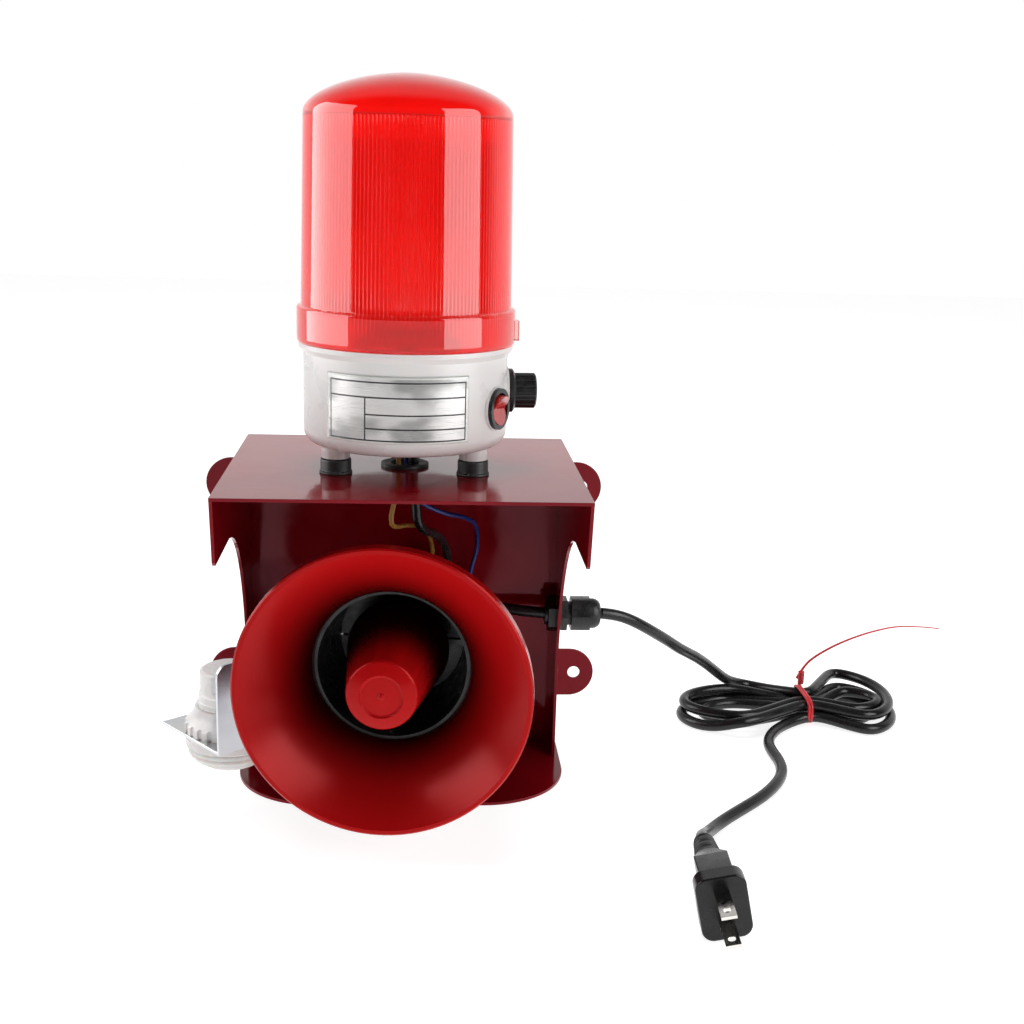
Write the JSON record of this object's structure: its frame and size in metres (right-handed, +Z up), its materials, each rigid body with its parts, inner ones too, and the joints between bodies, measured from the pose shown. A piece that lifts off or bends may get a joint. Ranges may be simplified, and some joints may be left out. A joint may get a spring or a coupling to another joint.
{
  "type": "alarm siren",
  "caption": "Wall alarm siren: a folded steel bracket carries a rotating beacon with a fluted dome, a reflex horn, a motion sensor on a swivel plate and a mains lead with plug.",
  "frame": {"origin": "centre of the four wall holes on the back face of the back plate", "axes": "+Y into the wall, square to the back plate; +Z up towards the beacon; +X to the viewer's right"},
  "size_m": [0.4286, 0.3172, 0.3411],
  "materials": {
    "bracket_paint": "glossy dark red enamel",
    "horn_plastic": "glossy red moulding",
    "dome_plastic": "clear red, fluted inside",
    "white_plastic": "satin white moulding",
    "lens_plastic": "milky",
    "plate_silver": "satin foil",
    "black_plastic": "satin black",
    "black_rubber": "matt",
    "cable_black": "smooth PVC",
    "wire_tan": "PVC",
    "wire_blue": "PVC",
    "zinc": "bright zinc plate",
    "steel": "plated",
    "brass": "bright",
    "nickel": "bright",
    "board_green": "solder mask",
    "rocker_red": "translucent red",
    "reflector_silver": "metallised",
    "gear_ivory": "natural nylon",
    "magnet_grey": "ferrite",
    "diaphragm_tan": "phenolic film",
    "lamp_glow": "LED board with yellow emitters",
    "tie_red": "plastic covered wire"
  },
  "bodies": {
    "housing": {"housing_shell": "bracket_paint", "back_plate": "bracket_paint", "earth_screw": "brass", "roof_grommet": "black_rubber", "foot_sleeves": "black_rubber", "beacon_screws": "steel", "beacon_base": "white_plastic", "name_plate": "plate_silver", "switch_body": "black_plastic", "potentiometer": "magnet_grey", "circuit_board": "board_green", "chassis_plate": "white_plastic", "motor": "steel", "gear_post": "steel", "lamp_holder": "white_plastic", "led_lamp": "lamp_glow", "sound_module": "black_plastic", "terminal_block": "white_plastic", "gland_body": "black_plastic", "gland_nut": "black_plastic", "gland_seal": "black_rubber", "gland_locknut": "black_plastic", "inner_cable": "cable_black", "beacon_cable": "cable_black", "wire_tan": "wire_tan", "wire_blue": "wire_blue", "yoke_bolt": "steel", "sensor_lug": "zinc", "lug_rivets": "steel", "sensor_pivot_bolt": "steel", "cord_lead": "cable_black", "cord_hank": "cable_black", "cord_tail": "cable_black", "cord_tie": "tie_red", "plug_strain_relief": "cable_black", "plug_body": "cable_black", "plug_pins": "nickel"},
    "dome": {"dome": "dome_plastic"},
    "rotor": {"turntable_gear": "gear_ivory", "reflector": "reflector_silver"},
    "pinion": {"motor_pinion": "gear_ivory", "motor_shaft": "steel"},
    "rocker": {"switch_rocker": "rocker_red"},
    "knob": {"volume_knob": "black_plastic", "pot_shaft": "steel"},
    "yoke": {"horn_yoke": "bracket_paint", "tilt_bolts": "steel"},
    "horn": {"horn_bell": "horn_plastic", "throat_insert": "black_plastic", "horn_bullet": "horn_plastic", "driver_cover": "black_plastic", "driver_magnet": "magnet_grey", "diaphragm": "diaphragm_tan", "bell_screws": "steel"},
    "sensor": {"sensor_bracket": "zinc", "sensor_housing": "white_plastic", "sensor_nut": "white_plastic", "sensor_lens": "lens_plastic", "sensor_board": "board_green"}
  },
  "joints": [
    {"name": "dome_twist", "type": "hinge", "parent": "housing", "child": "dome", "pos_m": [0, -0.071, 0.076], "axis": [0, 0, 1], "range_deg": [0, 18]},
    {"name": "rotor_spin", "type": "hinge", "parent": "housing", "child": "rotor", "pos_m": [0, -0.071, 0.136], "axis": [0, 0, 1], "continuous": true},
    {"name": "pinion_spin", "type": "hinge", "parent": "housing", "child": "pinion", "pos_m": [0, -0.041, 0.136], "axis": [0, 0, 1], "continuous": true},
    {"name": "rocker_tip", "type": "hinge", "parent": "housing", "child": "rocker", "pos_m": [0.03993, -0.09313, 0.107], "axis": [-0.4848, -0.8746, 0], "range_deg": [0, 18]},
    {"name": "knob_turn", "type": "hinge", "parent": "housing", "child": "knob", "pos_m": [0.04694, -0.06854, 0.1115], "axis": [0.9986, 0.0523, 0], "range_deg": [-140, 140]},
    {"name": "horn_swivel", "type": "hinge", "parent": "housing", "child": "yoke", "pos_m": [0, -0.055, -0.0895], "axis": [0, 0, 1], "range_deg": [-8, 14]},
    {"name": "horn_tilt", "type": "hinge", "parent": "yoke", "child": "horn", "pos_m": [0, -0.055, -0.012], "axis": [0.9945, -0.1045, 0], "range_deg": [-10, 8]},
    {"name": "sensor_swivel", "type": "hinge", "parent": "housing", "child": "sensor", "pos_m": [-0.0806, -0.0315, -0.059], "axis": [0, 0, 1], "range_deg": [-40, 5]}
  ],
  "couplings": [
    {"joint": "pinion_spin", "follows": "rotor_spin", "ratio": -4}
  ]
}
